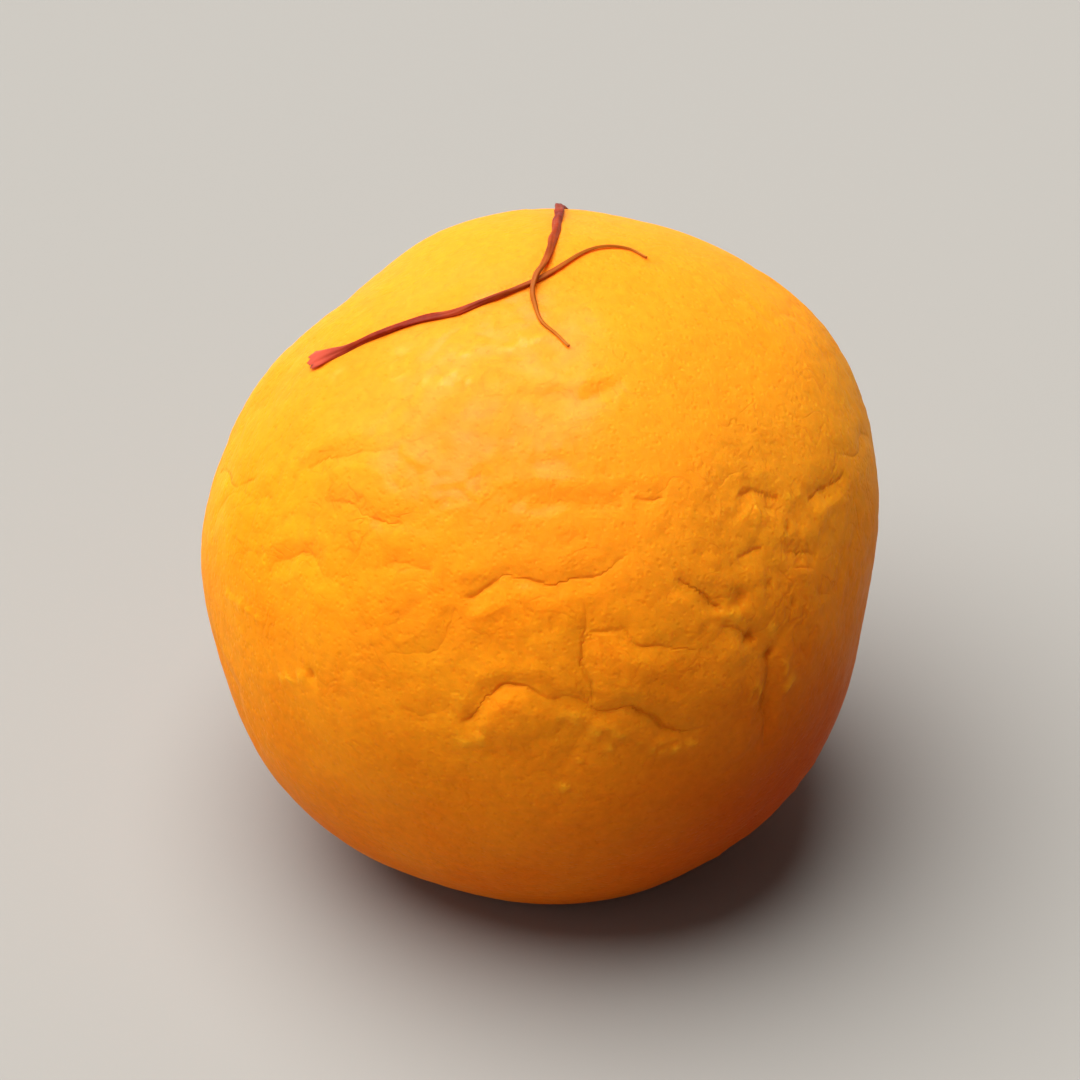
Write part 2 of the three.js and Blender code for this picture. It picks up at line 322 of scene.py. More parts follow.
def crease_relief(directions):
    """Height of the creases, and for the line at the bottom of each its offset, which is the distance from
    it with a sign for its side, and its depth. Bells of the distance from the nearest point of a crease
    make a valley and a lip on each side, higher below a crack and above a soft fold, and all fade to the
    crease's ends. The deepest valley and the highest lip at a place count, and the nearest line, which
    fades where another one is as near."""
    valley, lip, line_depth = np.zeros((3, len(directions)))
    line_offset, second = np.full((2, len(directions)), float(CREASE_REACH))
    skin = directions * BALL_RADIUS
    ragged = sum(share * straying(skin, size, seed) for size, share, seed in RAGGED)
    strayed = directions + ragged * CREASE_RAGGED / BALL_RADIUS
    whole = ease(*BROKEN_HEIGHTS, curd_noise(skin, BROKEN_SIZE, BROKEN_SEED))
    broken = CREASE_BROKEN + (1 - CREASE_BROKEN) * whole
    for crisp, line, depths in crease_lines():
        middle = line.mean(axis=0)
        middle /= np.linalg.norm(middle)
        reach = np.arccos((line @ middle).min()) + CREASE_REACH / BALL_RADIUS
        near = np.flatnonzero(directions @ middle > math.cos(reach))
        index = (strayed[near] @ line.T).argmax(axis=1)
        apart = strayed[near] - line[index]
        sideways = np.cross(np.gradient(line, axis=0), line)[index]
        distance = BALL_RADIUS * np.linalg.norm(apart, axis=1)
        from_end = np.minimum(index, len(line) - 1 - index) / (len(line) - 1)
        faded = depths[index] * broken[near] * ease(0, CREASE_END, from_end)
        above = LIP_ABOVE * crisp + LIP_BELOW * (1 - crisp)
        bulge = np.where(apart[:, 2] < 0, LIP_BELOW * crisp, above) * LIP_SHARE
        valley[near] = np.maximum(valley[near], faded * VALLEY_SHARE * bell(distance, VALLEY_WIDTH))
        lip[near] = np.maximum(lip[near], faded * bulge * bell(distance - LIP_OFFSET, LIP_WIDTH))
        before = np.abs(line_offset[near])
        nearest = distance < before
        second[near] = np.where(nearest, before, np.minimum(second[near], distance))
        signed = distance * np.sign((apart * sideways).sum(axis=1))
        line_offset[near] = np.where(nearest, signed, line_offset[near])
        shown = crisp * faded * (1 - ease(*LINE_REACH, distance))
        line_depth[near] = np.where(nearest, shown, line_depth[near])
    first = np.abs(line_offset)
    line_depth *= ease(0, FORK_FADE, (second - first) / (first + FORK_WIDTH))
    return lip - valley, line_offset, line_depth


# Curds: the skin is finely cracked into cells, with wrinkles, grain, pits and crumbs, most of all on rough
# patches, which are (side, up, reach, share). Wrinkles are (size, depth, width), curds the same with their
# swelling, grains (size, rise), and large crumbs, large pits and beads of syrup (side, up, size).
ROUGH_PATCHES = [
    (54, 19, 28, 0.95), (4, 6, 26, 0.5), (-48, 28, 24, 0.6), (150, -4, 40, 0.8), (-125, 10, 36, 0.8),
    (100, 24, 26, 0.7), (-25, 60, 30, 0.4),
]
SMOOTHEST = 0.22
WRINKLES = [(5.5, 0.13, 0.36), (3.2, 0.09, 0.28), (1.9, 0.05, 0.22)]
WRINKLE_PATCH = 1.7
WRINKLE_SHOWN = (-0.2, 0.4)
WRINKLE_STRAY = 0.25
WRINKLE_STRAY_SIZE = 0.5
CURDS = [(3.4, 0.06, 0.28, 0.05), (1.3, 0.03, 0.2, 0.05)]
CURD_PATCH = 2.2
CURD_SHOWN = (-0.4, 0.3)
CURD_STRAY = 0.22
CURD_STRAY_SIZE = 0.6
GRAINS = [(2.6, 0.05), (1.3, 0.03), (0.75, 0.022)]
WRINKLE_SEED, CURD_SEED, GRAIN_SEED, SPOT_SEED = 90, 60, 41, 21
PATCH_SEED, STRAY_SEED = 20, 30
# Painted shade in wrinkles and cracks: its share for each millimetre of depth
HOLLOW_SHADE_PER_DEPTH = 4
PIT_COUNT = 700
PIT_SIZES = (0.2, 0.45)
PIT_DEPTH = 0.11
# painted shade share in small pits
PIT_HOLLOW_SHADE = 0.45
PIT_DRAW = 200
CRUMB_COUNT = 700
CRUMB_SIZES = (0.2, 0.42)
CRUMB_RISE = 0.07
CRUMB_DRAW = 300
LARGE_CRUMBS = [
    (-13, 6, 0.6), (-10, 6.6, 0.5), (6, 11.5, 0.7), (4, 12.3, 0.5), (9.8, 8.5, 0.7), (11.6, 8.2, 0.6),
    (13.7, 7.6, 0.45), (20.5, 3.3, 0.6), (23.4, 2.5, 0.5), (61.5, 34.3, 0.55), (64, 33, 0.4),
    (45.1, 16.8, 0.5), (36.6, 23.1, 0.55), (38, 22, 0.4), (3.9, -2.6, 0.5), (6.6, 2.1, 0.5),
    (12, 4.6, 0.4), (17, 5.6, 0.35), (15, 1, 0.35), (26.5, 2.2, 0.35), (-69, 9.3, 0.5), (-66.5, 9.9, 0.55),
    (-64, 10.5, 0.6), (-61.5, 11.1, 0.6), (-59, 11.8, 0.5), (-50.2, 3.6, 0.5), (-48, 5, 0.45),
    (-45.4, 6.9, 0.45), (51, 36.5, 0.5), (54, 36, 0.4), (46, 9, 0.5), (47, 5, 0.6), (39.5, 7.5, 0.6),
]
LARGE_CRUMB_RISE = 0.18
LARGE_PITS = [
    (39.9, 25.1, 0.7), (40, 17.6, 0.5), (43.8, 12.4, 0.55), (30.3, -11.4, 0.35), (10.5, -6, 0.35),
    (47, 24, 0.35), (51, 19, 0.4), (57, 30, 0.35), (-43, 8.6, 0.35),
]
LARGE_PIT_DEPTH = 0.3
BEADS = [
    (-72.7, 64.2, 0.6), (-66, 62.6, 0.5), (-62.1, 62, 0.6), (-44.7, 72, 0.5), (-40, 68.1, 0.6),
    (-42, 65.9, 0.6), (-34, 67, 0.45), (-13.4, 78.5, 0.6), (-3, 79.3, 0.55), (-59.2, 81.5, 0.5),
    (-79.6, 52.5, 0.5), (-51, 63.8, 0.5), (-22, 76.6, 0.45),
]
BEAD_RISE = 0.06
SPOT_UNEVEN = 0.25
SPOT_UNEVEN_SIZE = 1.0
SPOT_REACH = 3
SPOT_UP_PACE = 1.7
SPOT_UP_DRAW = 0.5
SPOT_SIZE_DRAW = 0.25


def curd_cells(points, size, seed):
    """Cells about size wide, each round a centre drawn in its own cube of a lattice: the distance to the
    nearest centre, and half of how much further the second nearest is, which is 0 at a border."""
    cell = points / size
    corner = np.floor(cell)
    nearest, second = np.full((2, len(cell)), np.inf)
    for offset in itertools.product((-1, 0, 1), repeat=3):
        middle = corner + offset + corner_draws(corner + offset, seed)
        gap = np.linalg.norm(middle - cell, axis=1)
        second = np.minimum(second, np.maximum(nearest, gap))
        nearest = np.minimum(nearest, gap)
    return size * nearest, size * (second - nearest) / 2


def wrinkle_share(points, size, width, seed):
    """1 on a wrinkle and 0 away from it: wrinkles run where a noise with lumps of that size crosses 0, and
    its height times half the size is about the distance from there."""
    shift = WRINKLE_STRAY * size * straying(points, WRINKLE_STRAY_SIZE * size, seed + STRAY_SEED)
    return bell(size / 2 * curd_noise(points + shift, size, seed), width)


def drawn_spots(count, sizes, seed):
    """Directions and sizes of that many spots, drawn evenly over the ball: any side, and any height."""
    k = np.arange(count)
    ups = np.degrees(np.arcsin(2 * draw(k * SPOT_UP_PACE + seed + SPOT_UP_DRAW) - 1))
    across = sizes[0] + (sizes[1] - sizes[0]) * draw(k + seed + SPOT_SIZE_DRAW)
    return heading(360 * draw(k + seed), ups), across


def placed_spots(rows):
    """Directions and sizes of spots that are given as (side, up, size)."""
    sides, ups, sizes = np.transpose(rows)
    return heading(sides, ups), sizes


def spots(directions, places, sizes):
    """Round spots: each is the bell of the distance from its middle over its size, the highest counting."""
    total = np.zeros(len(directions))
    for place, size in zip(places, sizes):
        near = np.flatnonzero(directions @ place > math.cos(SPOT_REACH * size / BALL_RADIUS))
        distance = BALL_RADIUS * np.linalg.norm(directions[near] - place, axis=1)
        total[near] = np.maximum(total[near], bell(distance, size))
    return total


def roughness_share(directions):
    """How rough the skin is: the bell of the angle from each rough patch, the highest counting."""
    bells = [
        share * bell(angle_from(directions, side, up), reach) for side, up, reach, share in ROUGH_PATCHES
    ]
    return SMOOTHEST + (1 - SMOOTHEST) * np.max(bells, axis=0)


def skin_relief(directions, uneven, rough):
    """Height of the wrinkles, curds, grain, pits and crumbs, how much painted shade darkens a place in the
    wrinkles, cracks and pits, and how far it is on a large crumb. Each kind is its rise or depth times its
    share at the place, all of them added."""
    skin = directions * BALL_RADIUS
    # inside: painted shade, how much darker the colour is drawn in wrinkles and cracks
    height, inside = np.zeros((2, len(directions)))
    for seed, (size, depth, width) in enumerate(WRINKLES, WRINKLE_SEED):
        shown = rough * ease(*WRINKLE_SHOWN, curd_noise(skin, WRINKLE_PATCH * size, seed + PATCH_SEED))
        wrinkle = shown * wrinkle_share(skin, size, width, seed)
        height -= depth * wrinkle
        inside = np.maximum(inside, HOLLOW_SHADE_PER_DEPTH * depth * wrinkle)
    for seed, (size, depth, width, swell) in enumerate(CURDS, CURD_SEED):
        shown = rough * ease(*CURD_SHOWN, curd_noise(skin, CURD_PATCH * size, seed + PATCH_SEED))
        strayed = skin + CURD_STRAY * size * straying(skin, CURD_STRAY_SIZE * size, seed)
        middle, border = curd_cells(strayed, size, seed)
        crack = shown * bell(border, width)
        height += shown * swell * (0.5 - (middle / size) ** 2) - depth * crack
        inside = np.maximum(inside, HOLLOW_SHADE_PER_DEPTH * depth * crack)
    for seed, (size, rise) in enumerate(GRAINS, GRAIN_SEED):
        height += rise * rough * curd_noise(skin, size, seed)
    pits = rough * spots(uneven, *drawn_spots(PIT_COUNT, PIT_SIZES, PIT_DRAW))
    crumbs = rough * spots(uneven, *drawn_spots(CRUMB_COUNT, CRUMB_SIZES, CRUMB_DRAW))
    large_pits = spots(uneven, *placed_spots(LARGE_PITS))
    large_crumbs = spots(uneven, *placed_spots(LARGE_CRUMBS))
    height += CRUMB_RISE * crumbs + LARGE_CRUMB_RISE * large_crumbs
    height -= PIT_DEPTH * pits + LARGE_PIT_DEPTH * large_pits
    # painted shade: how much darker the colour is drawn in wrinkles, cracks and pits
    hollow_shade = np.clip(np.max([inside, PIT_HOLLOW_SHADE * pits, large_pits], axis=0), 0, 1)
    return height, hollow_shade, large_crumbs


def pressed(height):
    """A height that never falls below the foot: the larger of the two, rounded over where they meet."""
    near = np.maximum(FOOT_ROUNDING - np.abs(height - FOOT_LEVEL), 0) / FOOT_ROUNDING
    return np.maximum(height, FOOT_LEVEL) + near**2 * FOOT_ROUNDING / 4


directions, ball_faces = cube_sphere(BALL_CELLS)
directions = crowded(directions, heading(*CROWDED_AT), CROWDING)
skin = directions * BALL_RADIUS
uneven = directions + SPOT_UNEVEN * straying(skin, SPOT_UNEVEN_SIZE, SPOT_SEED) / BALL_RADIUS
rough = roughness_share(directions)
folds, line_offset, line_depth = crease_relief(directions)
relief, hollow_shade, large_crumbs = skin_relief(directions, uneven, rough)
beads = spots(uneven, *placed_spots(BEADS))
ball_points = directions * (smooth_radius(directions) + folds + relief + BEAD_RISE * beads)[:, None]
ball_points[:, 2] = pressed(ball_points[:, 2])
box_low, box_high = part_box("rasgulla")
centre = (np.array(box_low) + np.array(box_high)) / 2 / MILLIMETRE
ball_place = centre - (ball_points.min(axis=0) + ball_points.max(axis=0)) / 2
ball_place[2] = -FOOT_LEVEL

# Stain: colour seeps into the skin beside the two saffron threads, which lie along these places
CROSSING = (-168, 87)
LONG_THREAD = [
    (-91, 48), (-87, 56), (-85.5, 65), (-83, 75), (-88, 82),
    CROSSING, (149, 82), (142, 74.5), (134, 70), (124, 68.7),
]
BACK_THREAD = [
    (174.5, 44), (174.5, 54), (173, 66), (172, 76), (174, 83),
    CROSSING, (-88, 88.7), (-17, 87), (6, 83), (17, 79.6), (22.5, 76.8),
]
THREAD_STEPS = 240
STAIN_REACH = 1.1


def thread_line(places):
    """The middle of a thread on the skin at equal steps of its length, before it is lifted."""
    line = smooth_line([heading(*place) for place in places], CREASE_STEPS)
    length = np.concatenate([[0], np.cumsum(np.linalg.norm(np.diff(line, axis=0), axis=1))])
    even = np.linspace(0, length[-1], THREAD_STEPS)
    line = np.stack([np.interp(even, length, line[:, axis]) for axis in range(3)], axis=1)
    return line / np.linalg.norm(line, axis=1, keepdims=True)


thread_lines = [thread_line(places) for places in (LONG_THREAD, BACK_THREAD)]
closeness = np.max([(directions @ line.T).max(axis=1) for line in thread_lines], axis=0)
stain = bell(np.arccos(np.clip(closeness, -1, 1)) * BALL_RADIUS, STAIN_REACH)

# Syrup: a film lies in puddles on the crown. The colour is paler towards the crown, a painted sheen, and
# deepens to the soaked foot, partly the syrup's own colour and partly painted shade that leans to the
# right;
# painted shade darkens the lower right side and painted light lightens the upper right. Puddles are (size,
# share).
WETTEST = (-50, 70)
WET_REACH = 42
PUDDLES = [(5.0, 0.7), (2.2, 0.8), (1.1, 0.5)]
PUDDLE_HEIGHTS = (-0.7, 0.9)
FILM_LEAST = 0.2
# Painted sheen: the colour turns paler towards the crown, between these ups
PALE_UPS = (22, 66)
PALE_STRAY = 6
PALE_SIZE = 7.5
# Darker towards the foot and more so to the right: partly the soaked syrup's own colour, partly painted
# shade
SOAK_SHADE_LEVELS = (-4, 34)
SHADE_LEAN = 0.15
SOAK_SHADE_STRAY = 3
SOAK_SHADE_SIZE = 6.5
SOAK_SHADE_MOST = 0.68
# painted glints: large crumbs keep less of the darker colour of the foot
CRUMB_GLINT_LIGHTENING = 0.7
PUDDLE_SEED, PALE_SEED, SOAK_SHADE_SEED = 77, 33, 51
# Painted shade: the lower right side darker, as (side, up), reach and share
SHADE_SIDE = (50, -23)
SHADE_REACH = 37
SHADE_MOST = 0.95
# Painted light: the upper right side lighter and yellower, as (side, up), reach and share
PAINTED_LIGHT_SIDE = (70, 50)
PAINTED_LIGHT_REACH = 32
PAINTED_LIGHT_MOST = 0.8

puddles = sum(
    share * curd_noise(skin, size, seed) for seed, (size, share) in enumerate(PUDDLES, PUDDLE_SEED)
)
film = FILM_LEAST + (1 - FILM_LEAST) * ease(*PUDDLE_HEIGHTS, puddles)
wet = film * bell(angle_from(directions, *WETTEST), WET_REACH)
rising = np.degrees(np.arcsin(np.clip(directions[:, 2], -1, 1)))
# painted sheen: paler towards the crown
pale = ease(*PALE_UPS, rising + PALE_STRAY * curd_noise(skin, PALE_SIZE, PALE_SEED))
# darker towards the foot and to the right: soaked syrup colour and painted shade
level = ball_points[:, 2] - FOOT_LEVEL - SHADE_LEAN * ball_points[:, 0]
soak_shade = 1 - ease(*SOAK_SHADE_LEVELS, level + SOAK_SHADE_STRAY * curd_noise(skin, SOAK_SHADE_SIZE, SOAK_SHADE_SEED))
# large crumbs are left lighter, as painted glints
soak_shade *= SOAK_SHADE_MOST * (1 - CRUMB_GLINT_LIGHTENING * large_crumbs)
# painted shade on the lower right side
side_shade = SHADE_MOST * bell(angle_from(directions, *SHADE_SIDE), SHADE_REACH)
# painted light on the upper right side
golden = PAINTED_LIGHT_MOST * bell(angle_from(directions, *PAINTED_LIGHT_SIDE), PAINTED_LIGHT_REACH)


def new_piece(name, points, faces):
    """A smooth-shaded mesh object from an array of points in metres and rows of faces."""
    mesh = bpy.data.meshes.new(name)
    mesh.from_pydata(points.tolist(), [], [list(face) for face in faces])
    mesh.polygons.foreach_set("use_smooth", np.ones(len(mesh.polygons), bool))
    mesh.update()
    piece = bpy.data.objects.new(name, mesh)
    bpy.context.scene.collection.objects.link(piece)
    return piece


def keep_values(piece, name, values):
    """Keeps one number for each point of a piece, for its material to read."""
    piece.data.attributes.new(name, "FLOAT", "POINT").data.foreach_set("value", values.astype(np.float32))


ball = new_piece("ball", (ball_points + ball_place) * MILLIMETRE, ball_faces)
keep_values(ball, "line_offset", line_offset)
keep_values(ball, "line_depth", line_depth)
keep_values(ball, "rough", rough)
keep_values(ball, "hollow_shade", hollow_shade)
keep_values(ball, "soak_shade", soak_shade)
keep_values(ball, "crumb", large_crumbs)
keep_values(ball, "stain", stain)
keep_values(ball, "wet", wet)
keep_values(ball, "bead", beads)
keep_values(ball, "pale", pale)
keep_values(ball, "side_shade", side_shade)
keep_values(ball, "golden", golden)

# Skin colours. The pale, golden, soaked, side, recess, crumb and bead colours paint light: a painted sheen
# on the crown, painted light on the upper right, painted shade towards the foot (partly the soaked syrup's
# own colour), on the lower right and in creases, cracks and pits, and painted glints on crumbs and syrup
# beads.
SKIN_LIGHT = (0.95, 0.315, 0.007, 1)
SKIN_DEEP = (0.92, 0.27, 0.005, 1)
SKIN_PALE_SHEEN = (0.95, 0.29, 0.013, 1)
SKIN_PAINTED_LIGHT = (0.95, 0.335, 0.013, 1)
SKIN_SOAKED_SHADE = (0.72, 0.045, 0.002, 1)
SKIN_SIDE_SHADE = (0.37, 0.039, 0.002, 1)
SKIN_HOLLOW_SHADE = (0.62, 0.11, 0.002, 1)
SKIN_STAIN = (0.85, 0.19, 0.01, 1)
SKIN_CRUMB_GLINT = (0.97, 0.4, 0.015, 1)
SKIN_BEAD_GLINT = (0.97, 0.42, 0.05, 1)
HOLLOW_SHADE_TINT = 0.4
CREASE_SHADE_TINT = 0.6
HAIRLINE_SHADE_TINT = 0.3
STAIN_TINT = 0.3
CRUMB_GLINT_TINT = 0.38
BEAD_GLINT_TINT = 0.35
CREASE_LINE_WIDTH = 0.2
CREASE_LINE_DEPTH = 0.26
HAIRLINE_WIDTH = 0.035
HAIRLINE_DEPTH = 0.05
GRAIN_HEIGHT = 0.07
PORE_DEPTH = 0.045
FILM_RANGE = (0.005, 0.37)
BEAD_FILM = 0.5
DEEP_MOTTLES = (0.35, 0.68)
CRACKED_MOTTLES = (0.4, 0.6)
PORE_REACH = 0.4
FINE_SHADES = (0.3, 0.7, 0.93, 1.06)
SKIN_ROUGHNESS = (0.3, 0.7, 0.42, 0.6)


class Nodes:
    """Builds a material's nodes: each call makes a node, sets its values and links its inputs."""

    def __init__(self, name):
        self.material = bpy.data.materials.new(name)
        self.material.use_nodes = True
        self.tree = self.material.node_tree
        self.tree.nodes.clear()

    def make(self, kind, settings=None, **inputs):
        """A node, with its inputs given by name, or by number after an underscore, as values or links."""
        node = self.tree.nodes.new(kind)
        for key, value in (settings or {}).items():
            setattr(node, key, value)
        for key, value in inputs.items():
            socket = node.inputs[int(key[1:]) if key[1:].isdigit() else key.replace("_", " ")]
            if isinstance(value, bpy.types.NodeSocket):
                self.tree.links.new(value, socket)
            else:
                socket.default_value = value
        return node

    def noise(self, **inputs):
        """A noise from 0 to 1 at each place, with its scale in lumps a metre."""
        return self.make("ShaderNodeTexNoise", None, **inputs).outputs[0]

    def mix(self, share, first, second):
        """The first colour, with that share of the second."""
        inputs = {"_0": share, "_6": first, "_7": second}
        return self.make("ShaderNodeMix", {"data_type": "RGBA"}, **inputs).outputs[2]

    def spread(self, value, low, high, to_low=0.0, to_high=1.0):
        """A value from low to high carried over in a straight line to another range, and kept within it."""
        inputs = {"_0": value, "_1": low, "_2": high, "_3": to_low, "_4": to_high}
        return self.make("ShaderNodeMapRange", None, **inputs).outputs[0]

    def maths(self, operation, first, second):
        """One step of arithmetic on two values."""
        return self.make("ShaderNodeMath", {"operation": operation}, _0=first, _1=second).outputs[0]

    def times(self, first, second):
        """The product of two values."""
        return self.maths("MULTIPLY", first, second)

    def bell(self, value, width):
        """1 at 0, falling as e to the minus square of value over width."""
        square = self.maths("POWER", self.maths("DIVIDE", value, width), 2.0)
        return self.maths("EXPONENT", self.times(square, -1.0), 0.0)

    def value(self, name):
        """The number kept for each point of the piece under that name."""
        return self.make("ShaderNodeAttribute", {"attribute_name": name}).outputs["Fac"]

    def finish(self, shader):
        """The material, with that shader as its surface."""
        self.make("ShaderNodeOutputMaterial", None, Surface=shader)
        return self.material


def skin_material():
    """Moist orange curd: mottled, under a thin film of syrup. Painted shade deepens it towards the foot,
    where it is partly the soaked syrup's own colour, on the lower right side and in creases, cracks and
    pits; a painted sheen pales the crown, painted light lightens the upper right and painted glints lighten
    crumbs and beads. Its bump, in millimetres, is the line in each crease, hairline cracks where a noise
    crosses its middle, and the grain and pores of the curd."""
    n = Nodes("moist_curd")
    place = n.make("ShaderNodeTexCoord").outputs["Object"]
    mottle = n.noise(Vector=place, Scale=190, Detail=4, Roughness=0.6)
    fine = n.noise(Vector=place, Scale=1400, Detail=3, Roughness=0.6)
    maze = n.noise(Vector=place, Scale=420, Detail=2, Distortion=0.6)
    pores = n.make("ShaderNodeTexVoronoi", None, Vector=place, Scale=1900).outputs["Distance"]
    # the line in each crease, for its bump and for painted shade
    crease = n.times(n.bell(n.value("line_offset"), CREASE_LINE_WIDTH), n.value("line_depth"))
    cracked = n.times(n.value("rough"), n.spread(mottle, *CRACKED_MOTTLES))
    hairline = n.times(n.bell(n.maths("SUBTRACT", maze, 0.5), HAIRLINE_WIDTH), cracked)
    colour = n.mix(n.spread(mottle, *DEEP_MOTTLES), SKIN_LIGHT, SKIN_DEEP)
    # painted sheen on the crown
    colour = n.mix(n.value("pale"), colour, SKIN_PALE_SHEEN)
    # painted light on the upper right side
    colour = n.mix(n.value("golden"), colour, SKIN_PAINTED_LIGHT)
    # soaked syrup colour and painted shade towards the foot and to the right
    colour = n.mix(n.value("soak_shade"), colour, SKIN_SOAKED_SHADE)
    # painted shade on the lower right side
    colour = n.mix(n.value("side_shade"), colour, SKIN_SIDE_SHADE)
    # painted shade in wrinkles, cracks and pits
    colour = n.mix(n.times(n.value("hollow_shade"), HOLLOW_SHADE_TINT), colour, SKIN_HOLLOW_SHADE)
    # painted shade along the crease lines and hairline cracks
    colour = n.mix(n.times(crease, CREASE_SHADE_TINT), colour, SKIN_HOLLOW_SHADE)
    colour = n.mix(n.times(hairline, HAIRLINE_SHADE_TINT), colour, SKIN_HOLLOW_SHADE)
    colour = n.mix(n.times(n.value("stain"), STAIN_TINT), colour, SKIN_STAIN)
    # painted glints on large crumbs, lighter and yellower
    colour = n.mix(n.times(n.value("crumb"), CRUMB_GLINT_TINT), colour, SKIN_CRUMB_GLINT)
    # painted glints: syrup beads paler and lighter, besides their thicker film
    colour = n.mix(n.times(n.value("bead"), BEAD_GLINT_TINT), colour, SKIN_BEAD_GLINT)
    shade = n.make("ShaderNodeHueSaturation", None, Value=n.spread(fine, *FINE_SHADES), Color=colour)
    height = n.times(fine, GRAIN_HEIGHT)
    height = n.maths("ADD", height, n.times(n.spread(pores, 0.0, PORE_REACH), PORE_DEPTH))
    height = n.maths("SUBTRACT", height, n.times(crease, CREASE_LINE_DEPTH))
    height = n.maths("SUBTRACT", height, n.times(hairline, HAIRLINE_DEPTH))
    bump = n.make("ShaderNodeBump", None, Strength=1, Distance=MILLIMETRE, Height=height).outputs[0]
    film = n.spread(n.value("wet"), 0, 1, *FILM_RANGE)
    film = n.maths("MAXIMUM", film, n.times(n.value("bead"), BEAD_FILM))
    shader = n.make(
        "ShaderNodeBsdfPrincipled", None,
        Base_Color=shade.outputs[0], Roughness=n.spread(mottle, *SKIN_ROUGHNESS), Normal=bump,
        IOR=1.4, Specular_IOR_Level=0.035,
        Subsurface_Weight=0.55, Subsurface_Radius=(1.0, 0.4, 0.1), Subsurface_Scale=0.002,
        Coat_Weight=film, Coat_Roughness=0.22, Coat_IOR=1.38,
    )
    return n.finish(shader.outputs[0])


ball.data.materials.append(skin_material())
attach(ball, "root")
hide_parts("rasgulla")

# Saffron sprig: two threads, the dried stigmas of a crocus, laid crossing on the wet crown, where they
# stick. Each has a flared, frayed tip, a flat furrowed body and a thin paler stem. Radii are those of the
# tip, body and stem, furrows are (depth, count, pace), and what is uneven along a thread is (size, waves).
THREAD_RADII = [(0.58, 0.27, 0.1), (0.36, 0.3, 0.11)]
THREAD_SIDES = 28
THREAD_LIFT = 0.14
FLARE_SHARE = 0.16
STEM_FROM = 0.4
BODY_UNEVEN = (0.14, 22)
LIFT_UNEVEN = (0.12, 8)
SWAY_UNEVEN = (0.22, 10)
LIFT_SEED, SWAY_SEED = 60, 70
ALONG_START = 0.3
CROSSING_LIFT = 0.42
CROSSING_REACH = 1.5
TWIST = 16
FURROWS = [(0.16, 3, 1), (0.07, 7, -1.7)]
BODY_WIDE = 1.05
BODY_DEEP = 0.85
TIP_WIDER = 0.35
TIP_FLATTER = 0.4
FRAY = 0.55
FRAY_BACK = 0.3
FRAY_SHARE = 0.06
TIP_ROUNDED = 0.9


def along_noise(share, uneven, seed):
    """Noise along a thread, of a size and with so many waves from its tip to the end of its stem."""
    size, waves = uneven
    row = np.column_stack([share * waves, np.full((len(share), 2), ALONG_START + seed)])
    return size * curd_noise(row, 1, seed)


def thread_surface(tip, body, stem, line, seed):
    """A thread as a grid of length and turn: its section, a flat oval with furrows that twist along it, is
    carried along the line. It swells to the frayed tip, thins to the stem, and arches where it crosses."""
    share = np.linspace(0, 1, THREAD_STEPS)
    flare = 1 - ease(0, FLARE_SHARE, share)
    thin = ease(STEM_FROM, 1, share)
    radius = (tip * flare + body * (1 - flare)) * (1 - thin) + stem * thin
    radius *= 1 + (1 - flare) * along_noise(share, BODY_UNEVEN, seed)
    along = np.gradient(line, axis=0)
    along /= np.linalg.norm(along, axis=1, keepdims=True)
    across = np.cross(along, line)
    across /= np.linalg.norm(across, axis=1, keepdims=True)
    outward = np.cross(across, along)
    from_crossing = BALL_RADIUS * np.linalg.norm(line - heading(*CROSSING), axis=1)
    over = CROSSING_LIFT * (seed > 0) * bell(from_crossing, CROSSING_REACH)
    lift = THREAD_LIFT + along_noise(share, LIFT_UNEVEN, seed + LIFT_SEED) + over
    sway = along_noise(share, SWAY_UNEVEN, seed + SWAY_SEED)
    middle = line * (smooth_radius(line) + lift)[:, None] + across * sway[:, None]
    turn = np.linspace(0, 2 * math.pi, THREAD_SIDES, endpoint=False)
    twist = TWIST * share[:, None] + seed
    furrowed = 1 + sum(depth * np.cos(count * turn + pace * twist) for depth, count, pace in FURROWS)
    section = radius[:, None] * furrowed
    wide = section * (BODY_WIDE + TIP_WIDER * flare[:, None]) * np.cos(turn)
    deep = section * (BODY_DEEP - TIP_FLATTER * flare[:, None]) * np.sin(turn)
    fibres = FRAY * (draw(np.arange(THREAD_SIDES) + seed) - FRAY_BACK)
    fringe = fibres - TIP_ROUNDED * tip * np.cos(turn) ** 2
    frayed = fringe * np.maximum(1 - share / FRAY_SHARE, 0)[:, None]
    grid = middle[:, None] + across[:, None] * wide[..., None] + outward[:, None] * deep[..., None]
    return grid - along[:, None] * frayed[..., None], flare * min(tip / body - 1, 1), thin


def tube_faces(rings, sides, start):
    """Faces of a tube of rings, with a fan to one more point at each end."""
    ring = np.arange(rings)[:, None] * sides
    index = start + ring + np.arange(sides)
    after = np.roll(index, -1, axis=1)
    wall = np.stack([index[:-1], after[:-1], after[1:], index[1:]], axis=-1).reshape(-1, 4).tolist()
    first, last = start + rings * sides, start + rings * sides + 1
    wall += np.stack([np.full(sides, first), after[0], index[0]], axis=-1).tolist()
    wall += np.stack([np.full(sides, last), index[-1], after[-1]], axis=-1).tolist()
    return wall


sprig_points, sprig_faces, sprig_tip, sprig_stem = [], [], [], []
for seed, (radii, line) in enumerate(zip(THREAD_RADII, thread_lines)):
    grid, tip_share, stem_share = thread_surface(*radii, line, seed)
    sprig_faces += tube_faces(THREAD_STEPS, THREAD_SIDES, sum(len(points) for points in sprig_points))
    sprig_points += [grid.reshape(-1, 3), grid[[0, -1]].mean(axis=1)]
    sprig_tip += [np.repeat(tip_share, THREAD_SIDES), tip_share[[0, -1]]]
    sprig_stem += [np.repeat(stem_share, THREAD_SIDES), stem_share[[0, -1]]]

